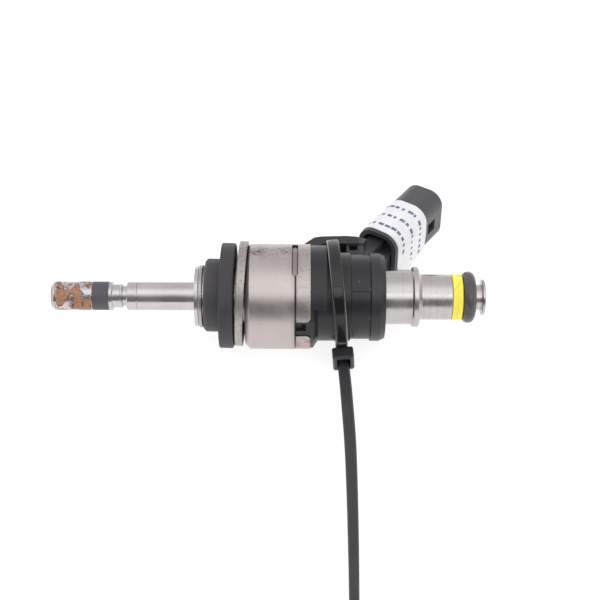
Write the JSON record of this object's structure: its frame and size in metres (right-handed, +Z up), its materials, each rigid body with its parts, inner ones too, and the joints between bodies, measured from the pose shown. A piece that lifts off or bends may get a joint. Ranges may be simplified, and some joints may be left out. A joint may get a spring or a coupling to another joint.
{
  "type": "fuel injector",
  "caption": "Solenoid direct-injection fuel injector with a slim spray nozzle, steel housing, angled plug connector, sealed inlet tube, sticker and cable tie.",
  "frame": {"origin": "on the injector's axis, where the nozzle shank meets its flange", "axes": "-X along the axis to the spray tip, +X to the fuel inlet, +Z up with the injector lying on its housing and plug"},
  "size_m": [0.0891, 0.1094, 0.023],
  "materials": {
    "tip_steel": "ground steel with brown combustion deposits",
    "nozzle_steel": "ground, polished",
    "inner_steel": "turned",
    "ptfe": "carbon filled PTFE",
    "damper_plastic": "glass filled polymer, matte",
    "ring_steel": "stamped steel, specks of soot",
    "shell_steel": "turned satin steel",
    "bobbin_plastic": "moulded",
    "winding": "enamelled copper",
    "inlet_steel": "turned, bright",
    "backup_yellow": "moulded polymer",
    "o_ring_rubber": "oiled fluoroelastomer",
    "filter_mesh": "woven mesh",
    "overmould_plastic": "glass filled nylon, satin",
    "terminal_tin": "tin plate",
    "label_paper": "plain white sticker",
    "tie_nylon": "nylon, semi gloss"
  },
  "bodies": {
    "injector": {"valve_seat": "tip_steel", "nozzle_body": "nozzle_steel", "needle_guide": "inner_steel", "combustion_seal": "ptfe", "retaining_washer": "nozzle_steel", "housing_shell": "shell_steel", "non_magnetic_ring": "inner_steel", "coil_bobbin": "bobbin_plastic", "coil_winding": "winding", "magnetic_cover_ring": "inner_steel", "inlet_tube": "inlet_steel", "backup_ring": "backup_yellow", "inlet_o_ring": "o_ring_rubber", "fuel_filter": "filter_mesh", "spring_adjusting_tube": "inner_steel", "return_spring": "inner_steel", "overmould": "overmould_plastic", "terminal_a": "terminal_tin", "terminal_b": "terminal_tin", "label": "label_paper", "cable_tie_band": "tie_nylon", "cable_tie_head": "tie_nylon", "cable_tie_tail": "tie_nylon"},
    "needle_group": {"valve_needle": "inner_steel", "needle_ball": "inner_steel", "armature": "inner_steel", "needle_stop_sleeve": "inner_steel"},
    "damper": {"damper_ring": "damper_plastic"},
    "tolerance": {"tolerance_ring": "ring_steel"}
  },
  "joints": [
    {"name": "needle_lift", "type": "slide", "parent": "injector", "child": "needle_group", "axis": [1, 0, 0], "range_m": [0, 0.00008], "stiffness_N_per_m": 500, "springref_m": -0.002, "deforming": ["return_spring"]},
    {"name": "damper_turn", "type": "hinge", "parent": "injector", "child": "damper", "pos_m": [0.00504, 0.00015, 0.00013], "axis": [0.9998, -0.016, -0.0135], "continuous": true},
    {"name": "tolerance_turn", "type": "hinge", "parent": "injector", "child": "tolerance", "pos_m": [0.00945, 0.00047, 0.0004], "axis": [0.9986, -0.0401, -0.0336], "continuous": true}
  ]
}
